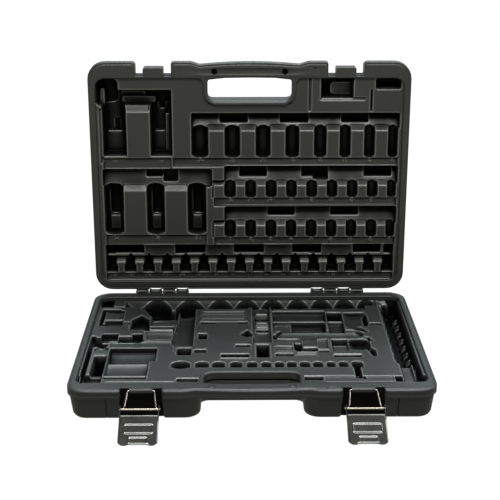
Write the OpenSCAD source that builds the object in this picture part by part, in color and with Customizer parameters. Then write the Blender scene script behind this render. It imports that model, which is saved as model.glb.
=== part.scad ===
// Double-walled, blow-moulded case for a socket wrench set, open at a right angle.
// Each half is drawn in plan: X across, Y from the hinge edge to the handle edge, Z down from its rim face.
// Depths are counted from the rim face. in_base() and in_lid() put a half in its place.

/* [Case] */
// Width of the case
case_w = 460; // [450:1:480]
// Depth of the case from hinge edge to handle edge
case_d = 340; // [338:1:350]
// Height of one half
half_h = 41; // [40:0.5:46]
// Radius of the four upright corners
corner_r = 25; // [18:1:28]

/* [Moulding] */
// Thickness of the outer wall
wall = 2.5; // [2:0.1:3]
// Thickness of the tray's skin
skin = 2; // [1.6:0.1:2.2]
// Depth of the flange round the rim
flange_h = 10; // [8:0.5:10]
// How far the wall stands in from the flange
flange_step = 2.5; // [2:0.1:3]
// Depth of the tray's upper surface
plateau = 4; // [3.5:0.1:4.5]
// Depth of the label strips
strip = 8; // [7:0.5:9]
// Depth of the finger bands above a row
band = 17; // [14:0.5:20]
// Depth of the deepest pockets
deep = 34; // [30:0.5:34]

/* [Handle] */
// Half length of the hand hole
hole_half = 60; // [56:1:60]
// Half length of the clear space under the handle
grip_half = 63; // [62:1:64]
// Height of the handle bar of one half
bar_h = 11; // [10.5:0.5:12]
// Distance of the locating pegs from the middle
peg_x = 50; // [46:1:54]
// Radius of a locating peg
peg_r = 3.75; // [3.5:0.05:4]

/* [Hinges] */
// Distance of each hinge from the middle
hinge_x = 131; // [120:1:134]
// Outside radius of a knuckle
knuckle_r = 4; // [3.5:0.1:4.2]
// Radius of a hinge pin
pin_r = 1.5; // [1.4:0.05:1.6]

/* [Latches] */
// Distance of each latch from the middle
latch_x = 137; // [136:0.5:138]
// Width of the slot that a latch lies in
slot_w = 51; // [51:0.5:52]
// Width of the lug and of the catch
lug_w = 28.6; // [28:0.1:28.8]
// Radius of the latch wire
wire_r = 1.25; // [1.2:0.01:1.25]
// Length of the bail between its two axes
bail_l = 26.9; // [26.8:0.1:27]
// Length of the lever from its axis to its free end
lever_l = 53.7; // [53:0.1:53.9]
// Width of the lever
lever_w = 48; // [47:0.5:48]

/* [Hidden] */
$fn = 64;
eps = 0.01;

// Fits
run = 0.05;       // radial running clearance of a pin
rim_gap = 0.3;    // gap between the two closed rims
hinge_out = 3.5;  // hinge axis behind the rim edge
lip = 2;          // hinge edge of the rim beyond the plan's zero line
notch_r = 6.5;    // clear radius round the hinge axis where the other half's knuckles turn

// Plan lines of a half
tray_x = 220;             // half width of the tray opening
tray_v0 = 12;             // hinge side of the tray opening
tray_v1 = 316;            // handle side of the tray opening
over = 1;                 // cut past a bay's edge where a pocket runs on into the next bay
rim_t = plateau + skin;   // depth of the solid rim band
hole_v0 = 283;            // hinge side of the hand hole
hole_v1 = 317;            // handle side of the hand hole
collar = 6;               // width of the collar round the hand hole
collar_h = 9;             // height of the collar at the tray side
bump_r = 21;              // radius of the bumpers beside the handle
grip_r = 12;              // inner radius of the space under the handle
bar_half = 80;            // half length of the handle node
bar_v = 317;              // hinge side of the handle bar
bar_bow = 3;              // how far the bar bows out
groove_x = 180;           // upright mould grooves in the front wall
groove_w = 1.4;
base_slot_v = 328.3;      // back of the base's latch slots
lid_slot_v = 319.5;       // back of the lid's latch slots
floor_d = half_h - wall;  // inside of the outer floor

// Latch kinematics, in the base's plan
lug_v = 331;       // bail axis
lug_d = 3.2;
lug_r = 3;
rest_angle = 59;   // bail from straight down, lying open
over_angle = 3.6;  // bail past upright, latched
plate_n = 6;       // lever plate above its own axis
plate_t = 1;
hem_a = 12.3;      // lever plate's upper edge from its axis
catch_v = 331;     // front of the lid's catch
catch_gap = 0.35;  // between the bail's bar and the catch
catch_d = bail_l * cos(over_angle) - lug_d - wire_r - catch_gap - rim_gap;

base_back = case_d / 2;
hinge_y = base_back + lip + hinge_out;
lug_y = base_back - lug_v;
lug_z = half_h - lug_d;
pivot_y = lug_y - bail_l * sin(rest_angle);
pivot_z = lug_z - bail_l * cos(rest_angle);

// ---------- placing ----------

module in_base() translate([0, base_back, half_h]) rotate([180, 0, 0]) children();

module in_lid() translate([0, hinge_y + rim_gap, half_h + lip + hinge_out]) mirror([0, 1, -1]) children();

module both_sides() for (side = [-1, 1]) translate([side, 0, 0] * latch_x) children();

// ---------- plan shapes ----------

// A prism of a rectangle with round corners
module plan_block(x0, x1, y0, y1, r, z0, z1) {
    translate([0, 0, z0]) linear_extrude(z1 - z0) union() {
        translate([x0 + r, y0]) square([x1 - x0 - 2 * r, y1 - y0]);
        translate([x0, y0 + r]) square([x1 - x0, y1 - y0 - 2 * r]);
        for (x = [x0 + r, x1 - r], y = [y0 + r, y1 - r]) translate([x, y]) circle(r);
    }
}

module box(x0, x1, y0, y1, z0, z1) translate([x0, y0, z0]) cube([x1 - x0, y1 - y0, z1 - z0]);

// The half's outline, set in by e
module outline(e, z0, z1)
    plan_block(-case_w / 2 + e, case_w / 2 - e, e - lip, case_d - e, corner_r - e, z0, z1);

// The hand hole, grown by e: tight corners at the bar, wide ones at the tray
module hand_hole(e, z0, z1) {
    h = hole_half + e;
    intersection() {
        plan_block(-h, h, hole_v0 - e, hole_v1 + 60, 24 + e, z0, z1);
        plan_block(-h, h, hole_v0 - 30, hole_v1 + e, 6 + e, z0, z1);
    }
}

// The clear space under the handle, grown by e, with the bumpers' round corners
module grip_space(e, z0, z1) {
    h = grip_half + e;
    front = case_d - flange_step;
    union() {
        plan_block(-h, h, hole_v0 - e, case_d + 40, grip_r + e, z0, z1);
        for (side = [-1, 1]) difference() {
            translate([min(side * h, side * (h + bump_r - e)), front - bump_r, z0])
                cube([bump_r - e, bump_r + 20, z1 - z0]);
            translate([side * (grip_half + bump_r), front - bump_r, z0 - 1])
                cylinder(r = bump_r - e, h = z1 - z0 + 2);
        }
    }
}

// The undercut behind the collar of the hand hole, grown by e
module undercut(e, z0, z1) {
    h = hole_half - 5 + e;
    plan_block(-h, h, hole_v0 - 7 - e, hole_v0 + 20, 5 + e, z0, z1);
}

module latch_slots(back, e, z0, z1) {
    both_sides() box(-slot_w / 2 - e, slot_w / 2 + e, back - e, case_d + 10, z0, z1);
}

// The shallow bow of the handle bar's outer edge
module bar_relief(z0, z1) {
    bow_r = (pow(bar_half - 5, 2) + pow(bar_bow, 2)) / (2 * bar_bow);
    difference() {
        box(-bar_half + 3, bar_half - 3, case_d - 8, case_d + 2, z0, z1);
        translate([0, case_d - 1 - bow_r, z0 - 1]) cylinder(r = bow_r, h = z1 - z0 + 2, $fn = 200);
    }
}

module bar_zone(z0, z1) box(-bar_half, bar_half, bar_v, case_d + 1, z0, z1);

// ---------- the outer halves ----------

// Outer wall and floor, with the space under the handle and the latch slots
module half_shell(slot_back) {
    difference() {
        outline(flange_step, rim_t, half_h);
        difference() {
            outline(flange_step + wall, rim_t - 1, floor_d);
            grip_space(wall, rim_t - 2, half_h);
            undercut(wall, rim_t - 2, half_h);
            latch_slots(slot_back, wall, rim_t - 2, half_h);
        }
        grip_space(0, bar_h, half_h + 1);
        undercut(0, collar_h, half_h + 1);
        hand_hole(0, -1, half_h + 1);
        latch_slots(slot_back, 0, -1, half_h + 1);
        bar_zone(-1, bar_h);
        for (side = [-1, 1])
            box(side * groove_x - groove_w / 2, side * groove_x + groove_w / 2,
                case_d - flange_step - 1.2, case_d, flange_h, half_h + 1);
    }
}

// Flat rim with the flange's lip, round the tray opening and the hand hole
module half_rim(slot_back, other_starts, axis_d) {
    difference() {
        union() {
            difference() {
                outline(0, 0, rim_t);
                translate([0, 0, -1]) tray_opening();
            }
            difference() {
                outline(0, rim_t, flange_h);
                outline(flange_step, rim_t - 1, flange_h + 1);
            }
        }
        hand_hole(0, -1, flange_h + 1);
        latch_slots(slot_back, 0, -1, flange_h + 1);
        bar_zone(-1, flange_h + 1);
        for (side = [-1, 1], s = other_starts) at_hinge(side, axis_d)
            translate([s - 0.4, 0, 0]) rotate([0, 90, 0]) cylinder(r = notch_r, h = knuckle_l + 0.8);
        translate([93, 331, -1]) cylinder(r = 2.3, h = 5);
    }
}

module half_bar() {
    difference() {
        box(-bar_half, bar_half, bar_v, case_d, 0, bar_h);
        hand_hole(0, -1, bar_h + 1);
        bar_relief(-1, bar_h + 1);
    }
}

// ---------- trays ----------

// Pocket lists, all as [u0, u1, v0, v1, depth] unless said:
//   boxes, and troughs along Y or X whose last value is the depth of their axis;
//   rounds [u, v, radius, depth]; bowls [u, v, radius, depth of centre];
//   prisms [points, points of the walls' outer faces, depth]
module pockets(grow, top, boxes, y_troughs, x_troughs, rounds, bowls, prisms) {
    for (p = boxes) box(p[0] - grow, p[1] + grow, p[2] - grow, p[3] + grow, top, p[4] + grow);
    for (p = y_troughs) {
        r = (p[1] - p[0]) / 2;
        box(p[0] - grow, p[1] + grow, p[2] - grow, p[3] + grow, top, p[4]);
        translate([(p[0] + p[1]) / 2, p[2] - grow, p[4]]) rotate([-90, 0, 0])
            cylinder(r = r + grow, h = p[3] - p[2] + 2 * grow);
    }
    for (p = x_troughs) {
        r = (p[3] - p[2]) / 2;
        box(p[0] - grow, p[1] + grow, p[2] - grow, p[3] + grow, top, p[4]);
        translate([p[0] - grow, (p[2] + p[3]) / 2, p[4]]) rotate([0, 90, 0])
            cylinder(r = r + grow, h = p[1] - p[0] + 2 * grow);
    }
    for (p = rounds) translate([p[0], p[1], top]) cylinder(r = p[2] + grow, h = p[3] + grow - top);
    for (p = bowls) {
        translate([p[0], p[1], p[3]]) sphere(r = p[2] + grow);
        translate([p[0], p[1], top]) cylinder(r = p[2] + grow, h = p[3] - top);
    }
    for (p = prisms) translate([0, 0, top]) linear_extrude(p[2] + grow - top)
        polygon(grow > 0 ? p[1] : p[0]);
}

// One region of a tray: a thin deck at the given level with thin-walled pockets pressed down into it
module bay(area, level, boxes = [], y_troughs = [], x_troughs = [], rounds = [], bowls = [], prisms = []) {
    intersection() {
        difference() {
            union() {
                deck(area, level);
                pockets(skin, level, boxes, y_troughs, x_troughs, rounds, bowls, prisms);
            }
            pockets(0, -1, boxes, y_troughs, x_troughs, rounds, bowls, prisms);
        }
        box(area[0], area[1], area[2], area[3], 0, floor_d);
        tray_opening();
    }
}

module deck(area, level) box(area[0], area[1], area[2], area[3], level, level + skin);

// The clear plan of a half's tray, inside its rim and round the collar of the hand hole
module tray_opening() {
    difference() {
        plan_block(-tray_x, tray_x, tray_v0, tray_v1, 14, 0, floor_d);
        hand_hole(collar, -1, half_h);
    }
}

// Sides of the troughs in a row, from the faces of the blocks between them
function gaps(edges) = [for (i = [0 : 2 : len(edges) - 2]) [edges[i], edges[i + 1]]];

// A row of half-round troughs under a finger band, over a label strip
module socket_row(area, edges, v0, v1, band_v, axis_d, slots, slot_d) {
    bay(area, plateau,
        boxes = concat(
            [[area[0] + 3, area[1] - 5, area[2] + 1, v0 + eps, strip]],
            [[area[0] + 8, area[1] - 5, v1 - eps, band_v, band]],
            [for (s = slots) [s[0], s[1], v1 + 3, band_v, slot_d]]
        ),
        y_troughs = [for (g = gaps(edges)) [g[0], g[1], v0, v1, axis_d]]
    );
}

// ---------- hinges ----------

// The left hinge reads lid, base, lid, base from the left; the right one is its mirror image
lid_starts = [-39, 1];
base_starts = [-19, 21];
knuckle_l = 18;

// Puts X along a hinge, from its middle, at the axis of a half
module at_hinge(side, axis_d)
    translate([side * hinge_x, -hinge_out - lip, axis_d]) mirror([side > 0 ? 1 : 0, 0, 0]) children();

// One knuckle with flared ends, and the web that ties it to the rim's edge
module knuckle(r_end, axis_d) {
    flare = 4;
    intersection() {
        union() {
            rotate([0, 90, 0]) cylinder(r1 = r_end, r2 = knuckle_r, h = flare);
            translate([flare, 0, 0]) rotate([0, 90, 0]) cylinder(r = knuckle_r, h = knuckle_l - 2 * flare);
            translate([knuckle_l - flare, 0, 0]) rotate([0, 90, 0])
                cylinder(r1 = knuckle_r, r2 = r_end, h = flare);
            translate([0, 0, 0.5 - axis_d]) cube([knuckle_l, hinge_out, knuckle_r - 0.5]);
        }
        translate([-1, -10, -10]) cube([knuckle_l + 2, 10 + hinge_out, 20]);
    }
}

module base_knuckles(side) {
    for (s = base_starts) at_hinge(side, 0) translate([s, 0, 0]) difference() {
        knuckle(5.6, 0);
        translate([-1, 0, 0]) rotate([0, 90, 0]) cylinder(r = pin_r + run, h = knuckle_l + 2);
    }
}

// The lid's knuckles are open in front, so that the pin shows
module lid_knuckles(side) {
    for (s = lid_starts) at_hinge(side, -rim_gap) translate([s, 0, 0]) difference() {
        knuckle(4.8, -rim_gap);
        translate([-1, 0, 0]) rotate([0, 90, 0]) cylinder(r = pin_r + run, h = knuckle_l + 2);
        translate([4, -6, -6]) cube([knuckle_l - 8, 8, 6]);
    }
}

// ---------- latches ----------

module lugs() {
    both_sides() difference() {
        intersection() {
            union() {
                translate([-lug_w / 2, lug_v, lug_d]) rotate([0, 90, 0]) cylinder(r = lug_r, h = lug_w);
                box(-lug_w / 2, lug_w / 2, base_slot_v, lug_v, lug_d - 2.4, lug_d + 2.4);
            }
            box(-lug_w, lug_w, base_slot_v, case_d, -1, 3 * lug_r);
        }
        translate([-lug_w, lug_v, lug_d]) rotate([0, 90, 0]) cylinder(r = wire_r + run, h = 2 * lug_w);
    }
}

module catches() {
    both_sides() union() {
        box(-lug_w / 2, lug_w / 2, lid_slot_v, catch_v - 2, 0, catch_d);
        box(-lug_w / 2 + 2, lug_w / 2 - 2, lid_slot_v, catch_v, 0, catch_d);
        for (side = [-1, 1])
            translate([side * (lug_w / 2 - 2), catch_v - 2, 0]) cylinder(r = 2, h = catch_d);
    }
}

// A round bar along X
module x_rod(x0, x1, z) translate([x0, 0, z]) rotate([0, 90, 0]) cylinder(r = wire_r, h = x1 - x0);

leg_top = 16.3;     // half spread of the bail's legs at the lug
leg_end = 19.5;     // half spread of the legs at the lever
bend_r = 1.6;       // the thicker wire where it bends
pin_in = 8;         // how far a bail end goes into the lug

// The bail hangs from the origin along -Z before it is turned to lie open
module bail(side) {
    lean = atan((leg_end - leg_top) / bail_l);
    translate([side * latch_x, lug_y, lug_z]) rotate([-rest_angle, 0, 0]) union() {
        for (m = [0, 1]) mirror([m, 0, 0]) {
            x_rod(lug_w / 2 - pin_in, leg_top, 0);
            translate([leg_top, 0, 0]) sphere(r = bend_r);
            translate([leg_top, 0, 0]) rotate([0, 180 - lean, 0])
                cylinder(r = wire_r, h = bail_l / cos(lean));
            translate([leg_end - 1.5, 0, -bail_l]) rotate([0, 90, 0]) cylinder(r = bend_r, h = 3);
        }
        x_rod(-lever_w / 2 - 0.6, lever_w / 2 + 0.6, -bail_l);
    }
}

ear_t = 1.2;
ear_r = 3.2;
ear_end = 20;

// Lever before it is turned to lie open: down its length is -Z, its outer face looks along -Y
module lever(side) {
    ear_x = lever_w / 2 - ear_t;
    back = -plate_n + plate_t / 2;
    translate([side * latch_x, pivot_y, pivot_z]) rotate([-rest_angle, 0, 0]) union() {
        difference() {
            union() {
                plan_plate(hem_a, lever_l);
                for (m = [-1, 1]) translate([m > 0 ? ear_x : -ear_x - ear_t, 0, 0]) union() {
                    rotate([0, 90, 0]) cylinder(r = ear_r, h = ear_t);
                    translate([0, -plate_n, -ear_end]) cube([ear_t, plate_n + 1, ear_end]);
                    translate([0, -plate_n, -ear_r]) cube([ear_t, plate_n, ear_r + 1.6]);
                }
            }
            translate([-lever_w, 0, 0]) rotate([0, 90, 0]) cylinder(r = wire_r + run, h = 2 * lever_w);
        }
        translate([-ear_x, back, -hem_a - 1.2]) rotate([0, 90, 0]) cylinder(r = 1.4, h = 2 * ear_x);
        for (z = [28.5, 38.5])
            translate([-18.5, -plate_n - plate_t / 2, -z - 1.1]) rotate([0, 90, 0]) cylinder(r = 1.1, h = 37);
        translate([-12, -plate_n - plate_t / 2, -44.5]) rotate([0, 90, 0]) cylinder(r = 1.1, h = 24);
        translate([-12.5, -plate_n - 2.6, -lever_l]) cube([25, 2.6, 1]);
    }
}

module plan_plate(a0, a1) {
    r = 7;
    half = lever_w / 2;
    translate([0, -plate_n + plate_t / 2, 0]) rotate([90, 0, 0]) linear_extrude(plate_t) union() {
        translate([-half, -a1 + r]) square([2 * half, a1 - r - a0]);
        translate([-half + r, -a1]) square([2 * (half - r), r]);
        for (m = [-1, 1]) translate([m * (half - r), -a1 + r]) circle(r);
    }
}

// ---------- tray layouts ----------

base_color = "#2b2e30";
lid_color = "#262827";

// Base: back row of upright round pockets, [u, radius]
back_row = [[-137, 26], [-86, 22], [-44, 18.5], [-4, 18.5], [34, 16.5], [71, 17], [106.5, 15.5],
            [140, 15.5], [170, 13]];
back_v = 18;
base_split = 48;

module base_back_row() {
    color(base_color) in_base() bay([-tray_x, 187, tray_v0, base_split], plateau + 3,
        boxes = concat([[-217, -200, tray_v0 + 1, 44, deep], [-199, -172, 30, 46, deep]],
            [for (p = back_row) [p[0] - p[1], p[0] + p[1], back_v + p[1], base_split + over, deep]]),
        rounds = [for (p = back_row) [p[0], back_v + p[1], p[1], deep]]);
}

channel_u = 202;
channel_pitch = 29;

module base_right_channel() {
    color(base_color) in_base() bay([187, tray_x, tray_v0, tray_v1], plateau,
        boxes = [[193, 211, 20, 254, deep], [190, 208, 257, 294, 11], [190, 216, 294, 313, 30]],
        rounds = [for (i = [0 : 7]) [channel_u, 29 + i * channel_pitch, 14, deep]]);
}

module base_left_bay() {
    color(base_color) in_base() bay([-tray_x, -78, base_split, 148], plateau,
        boxes = [
            [-213, -187, 56, 60, 12], [-208, -180, 66, 88, 6], [-215, -207, 80, 108, 30],
            [-204, -180, 96, 110, 12], [-180, -169, 104, 110, 12],
            [-140, -106, 90, 119, 9], [-139, -107, 119, 131, 30]
        ],
        y_troughs = [[-103, -80, base_split - over, 148 + over, 16]],
        prisms = [
            [[[-168, 132], [-168, 91], [-155.5, 80], [-143, 91], [-141, 132]],
             [[-170, 134], [-170, 90.1], [-155.5, 77.3], [-141.1, 90.1], [-138.8, 134]], 20],
            [[[-150, base_split - over], [-143, 66], [-143, 90.5], [-106, 90.5], [-106, base_split - over]],
             [[-152.2, base_split], [-145, 66.4], [-145, 92.5], [-104, 92.5], [-104, base_split]], deep]
        ]);
}

module base_front_left_bay() {
    color(base_color) in_base() bay([-tray_x, -78, 148, tray_v1], plateau,
        boxes = [
            [-216, -146, 150, 171, 12], [-182, -159, 150, 171, 26], [-216, -193, 163, 190, deep],
            [-207, -191, 223, 279, deep], [-144, -112, 150, 166, 7], [-218, -191, 281, 312, 14],
            [-99, -82, 196, 219, deep], [-186, -100, 297, 302, 7], [-95, -79, 296, 304, 20]
        ],
        y_troughs = [[-103, -80, 148 - over, 190, 16]],
        x_troughs = [[-188, -126, 197, 249, 7], [-188, -134, 252, 288, 6]],
        bowls = [[-200, 204, 9, 16]]);
}

module base_centre_bay() {
    color(base_color) in_base() bay([-78, 29, base_split, 238], plateau,
        boxes = [
            [-78, 3, base_split - over, 59, deep], [-75, -3, 104, 112, 10], [-49, -15, 110, 116, 16],
            [-73, -60, 151, 169, 30], [-76, -60, 204, 215, 30], [-21, -2, 188, 193, 24],
            [-40, -4, 218, 228, 14], [4, 28, base_split - over, 98, 20], [7, 25, 72, 86, deep],
            [5, 27, 124, 133, deep], [7, 24, 189, 229, deep]
        ],
        y_troughs = [[4, 28, 100, 186, 14]],
        x_troughs = [for (v = [70, 77, 84]) [-72, -6, v, v + 5, 3]],
        rounds = [[-6, 151, 8, 30]]);
}

module base_right_bay() {
    color(base_color) in_base() bay([29, 187, base_split, 238], plateau,
        boxes = [
            [30, 185, base_split - over, 54, deep],
            [109, 132, 68, 100, 22], [34, 104, 108, 133, 12], [57, 104, 114, 133, 20],
            [134, 162, 120, 133, 20],
            [34, 68, 176, 187, 14], [60, 88, 180, 205, 18], [62, 73, 184, 205, 30], [34, 58, 192, 214, 9],
            [108, 132, 173, 180, 30], [108, 132, 180, 206, 12], [32, 55, 220, 226, 26],
            [61, 87, 218, 228, 14],
            [108, 146, 224, 230, 28], [158, 164, 206, 230, 28], [166, 183, 111, 124, 8]
        ],
        x_troughs = [[33, 108, 60, 104, 6], [132, 163, 68, 111, 6], [32, 157, 137, 171, 6]],
        bowls = [[147, 190, 15, 6]]);
}

// Base: front row of upright slots with round backs, [u, width]
front_row = [[-92, 24], [-65, 18], [-43, 16], [-20.5, 16], [0.5, 13], [18, 13], [35.5, 12], [52, 11],
             [69, 12], [85.5, 11], [102, 11], [119, 11], [136.5, 14]];

module base_front_row() {
    row = [for (p = front_row) if (p[0] > -78) p];
    color(base_color) in_base() bay([-78, 187, 238, tray_v1], plateau,
        boxes = concat(
            [for (p = row) [p[0] - p[1] / 2, p[0] + p[1] / 2, 250, 261, 24]],
            [[132, 140, 261, 291, 18], [69, 91, 289, 301, 28], [92, 178, 299, 303, 6],
             [179, 186, 288, 305, 30]]),
        rounds = [for (p = row) [p[0], 250, p[1] / 2, 24]]);
}

// Lid rows: inner faces of the troughs in pairs
row_1 = [-84, -60, -36, -14, 9, 30, 52, 71.5, 93.5, 111, 130.5, 146, 166, 181, 200.5, 214];
row_pitch = 30;
row_2 = [for (i = [0 : 7], s = [0, 16]) -36.5 + i * row_pitch + s];
row_4 = [for (i = [0 : 15], s = [0, 13.5]) -212 + i * 27.4 + s];

module lid_row_1() {
    color(lid_color) in_lid() socket_row([-112, tray_x, 188, 266], row_1, 204, 244, 264, 14,
        [[-44, -2], [43, 86], [132, 173]], 30);
}

module lid_row_2() {
    color(lid_color) in_lid() socket_row([-52, tray_x, 127, 188], concat(row_2, [203, 214]),
        141, 162, 186, 11, [[-16, 26], [75, 116], [167, 209]], 30);
}

module lid_row_3() {
    color(lid_color) in_lid() socket_row([-52, tray_x, 68, 127], concat(row_2, [203, 214]),
        80, 101, 125, 11, [[26, 68], [119, 162]], 30);
}

module lid_row_4() {
    color(lid_color) in_lid() bay([-tray_x, tray_x, tray_v0, 68], plateau,
        boxes = concat(
            [[-212, 214, 14, 25, strip], [-214, 214, 46, 66, 14]],
            [for (s = [[-209, -155], [-112, -65], [-24, 23], [63, 108], [154, 197]])
                [s[0], s[1], 50, 66, 30]],
            [for (g = gaps(row_4)) [g[0], g[1], 25, 47, 24]]));
}

module lid_ratchet_bay() {
    color(lid_color) in_lid() bay([-tray_x, -112, 184, tray_v1], plateau,
        boxes = [
            [-217, -189, 280, 314, deep], [-186, -134, 279, 299, 15], [-189, -120, 288, 299, deep],
            [-133, -114, 262, 299, deep], [-198, -186, 220, 257, deep], [-211, -114, 186, 205, strip],
            [-176, -112, 276, 280, 15]
        ],
        y_troughs = [[-211, -178, 205, 280, 14], [-143, -114, 205, 262, 16]]);
}

module lid_handle_deck() {
    color(lid_color) in_lid() intersection() {
        deck([-112, 86, 266, tray_v1], plateau);
        tray_opening();
    }
}

module lid_adapter_bay() {
    color(lid_color) in_lid() bay([86, tray_x, 266, tray_v1], plateau,
        boxes = [[86, 88.5, 268, 314, 6], [102, 152, 286, 313, 16], [102, 114, 289, 313, 28],
                 [180, 215, 301, 313, deep], [172, 174.5, 268, 300, 7]]);
}

module lid_long_bay() {
    color(lid_color) in_lid() bay([-tray_x, -52, 68, 184], plateau,
        boxes = [
            [-214, -56, 158, 181, 16], [-152, -126, 166, 177, 21], [-126, -105, 160, 177, 21],
            [-213, -63, 69.5, 84, strip],
            [-206, -186, 117, 158, deep], [-146, -128, 117, 158, deep], [-86, -66, 117, 158, deep]
        ],
        y_troughs = [[-212, -184, 84, 158, 12], [-149, -125, 84, 158, 14], [-89, -64, 84, 158, 14]]);
}

// ---------- nodes ----------

module base_shell() color(base_color) in_base() half_shell(base_slot_v);

module base_rim() {
    color(base_color) in_base() half_rim(base_slot_v, lid_starts, 0);
}

module base_handle() {
    color(base_color) in_base() union() {
        half_bar();
        for (side = [-1, 1]) translate([side * peg_x, 326, -2.6]) cylinder(r = peg_r, h = 3);
    }
}

module base_latch_lugs() color(base_color) in_base() lugs();

module base_left_knuckles() color(base_color) in_base() base_knuckles(-1);

module base_right_knuckles() color(base_color) in_base() base_knuckles(1);

module lid_shell() color(lid_color) in_lid() half_shell(lid_slot_v);

module lid_rim() {
    color(lid_color) in_lid() half_rim(lid_slot_v, base_starts, -rim_gap);
}

module lid_handle() {
    color(lid_color) in_lid() difference() {
        half_bar();
        for (side = [-1, 1]) translate([side * peg_x, 326, -1]) cylinder(r = peg_r + 0.4, h = 5);
    }
}

module lid_latch_catches() color(lid_color) in_lid() catches();

module lid_left_knuckles() color(lid_color) in_lid() lid_knuckles(-1);

module lid_right_knuckles() color(lid_color) in_lid() lid_knuckles(1);

module hinge_pin(side) {
    color("#8a8d90") translate([side * hinge_x - 40, hinge_y, half_h]) rotate([0, 90, 0])
        cylinder(r = pin_r, h = 80);
}

module left_hinge_pin() hinge_pin(-1);

module right_hinge_pin() hinge_pin(1);

module left_bail() color("#b9b4a6") bail(-1);

module right_bail() color("#b9b4a6") bail(1);

module left_lever() color("#a9adb3") lever(-1);

module right_lever() color("#a9adb3") lever(1);

base_shell();
base_rim();
base_handle();
base_latch_lugs();
base_left_knuckles();
base_right_knuckles();
base_back_row();
base_right_channel();
base_left_bay();
base_centre_bay();
base_right_bay();
base_front_left_bay();
base_front_row();
lid_shell();
lid_rim();
lid_handle();
lid_latch_catches();
lid_left_knuckles();
lid_right_knuckles();
lid_ratchet_bay();
lid_handle_deck();
lid_adapter_bay();
lid_long_bay();
lid_row_1();
lid_row_2();
lid_row_3();
lid_row_4();
left_hinge_pin();
right_hinge_pin();
left_bail();
right_bail();
left_lever();
right_lever();
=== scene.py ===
"""An open, empty blow-moulded tool case on a white floor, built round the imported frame.

Each half has plan coordinates in millimetres: u across, v from the hinge to the handle, and d, the
depth below its rim."""

import math

import bmesh
import bpy
import numpy as np
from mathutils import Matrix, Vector
from mathutils.geometry import tessellate_polygon


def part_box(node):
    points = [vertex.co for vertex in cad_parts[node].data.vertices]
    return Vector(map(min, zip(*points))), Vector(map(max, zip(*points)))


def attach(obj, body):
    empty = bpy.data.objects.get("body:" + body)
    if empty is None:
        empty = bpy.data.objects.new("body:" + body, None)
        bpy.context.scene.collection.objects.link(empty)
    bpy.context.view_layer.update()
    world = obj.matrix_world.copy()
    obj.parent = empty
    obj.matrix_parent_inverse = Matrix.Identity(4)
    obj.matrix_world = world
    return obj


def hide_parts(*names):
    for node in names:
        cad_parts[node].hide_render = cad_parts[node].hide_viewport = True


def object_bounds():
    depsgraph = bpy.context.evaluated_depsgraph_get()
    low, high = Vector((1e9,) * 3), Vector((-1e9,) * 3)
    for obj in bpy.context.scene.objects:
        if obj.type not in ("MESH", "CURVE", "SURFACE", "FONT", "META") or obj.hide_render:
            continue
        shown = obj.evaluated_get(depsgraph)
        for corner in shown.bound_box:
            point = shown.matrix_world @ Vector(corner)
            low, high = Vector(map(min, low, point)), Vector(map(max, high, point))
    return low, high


MM = 0.001
WIDTH, LENGTH, HEIGHT = 460, 340, 41  # one half
LIP = 2  # hinge edge beyond the plan's zero line
HINGE_OUT, NOTCH_R = 3.5, 6.5  # hinge axis beyond that line, and the clear radius round it
CORNER = 25  # plan radius of the flange
FLANGE, FLANGE_STEP = 10, 2.5  # its height, and how far the wall stands in
TRAY_U, TRAY_V1 = 220, 316  # side and handle edges of the trays
HOLE_HALF, HOLE_V0, HOLE_V1, COLLAR = 60, 283, 317, 6
GRIP_HALF, GRIP_V = 63, 276  # space under the handle bar
LATCH_U, SLOT_HALF = 137, 25.5
GROOVE_U = 180  # upright mould groove in the front wall
PEG_U, PEG_V = 50, 326  # locating pegs on the handle bar
VENT_U, VENT_V = 93, 331  # small hole beside the handle
PLATEAU, STRIP, BAND, DEEP = 4, 8, 17, 34  # depths: deck, label strip, finger band, pocket
WALL_TOP = 2  # depth at which a pocket's walls start
RASTER, GRID = 0.5, 0.8  # pitch of the painted depth maps and of the tray meshes
EDGE = 222  # outer edge of the tray sheets, under the rim
LUG_V, LUG_D = 331, 3.2  # axis of the latch lugs
REST_ANGLE = math.radians(59)  # an open latch, from straight down
BAIL, LEVER, LEVER_HALF = 26.9, 53.7, 24  # lengths of bail and lever, half the lever's width
EAR_R, EAR_THICK = 3.2, 1.1

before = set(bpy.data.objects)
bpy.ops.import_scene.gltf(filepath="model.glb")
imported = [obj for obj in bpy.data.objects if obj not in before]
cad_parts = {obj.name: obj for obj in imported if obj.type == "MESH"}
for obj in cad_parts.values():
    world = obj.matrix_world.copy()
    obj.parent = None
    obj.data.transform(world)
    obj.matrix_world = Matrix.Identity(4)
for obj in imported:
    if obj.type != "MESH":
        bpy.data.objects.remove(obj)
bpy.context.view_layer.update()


# ---------- placing ----------

def placer(half):
    """Turns a half's plan coordinates into the frame's metres."""
    low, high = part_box(f"{half}_rim")
    if half == "base":
        front, top = low.y / MM, high.z / MM
        return lambda u, v, d: (u * MM, (front + LENGTH - v) * MM, (top - d) * MM)
    face, top = low.y / MM, high.z / MM
    return lambda u, v, d: (u * MM, (face + d) * MM, (top - LENGTH + v) * MM)


PLACE = {half: placer(half) for half in ("base", "lid")}


# ---------- mesh helpers ----------

SKINS = {}  # the material of each slot


def place(name, data):
    """An object in the scene for a mesh, curve, light or camera."""
    made = bpy.data.objects.new(name, data)
    bpy.context.scene.collection.objects.link(made)
    return made


def add(name, mesh, body, slot):
    """An object for a mesh, in its slot's material, that rides on a body."""
    mesh.materials.append(SKINS[slot])
    made = place(name, mesh)
    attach(made, body)
    return made


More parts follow.
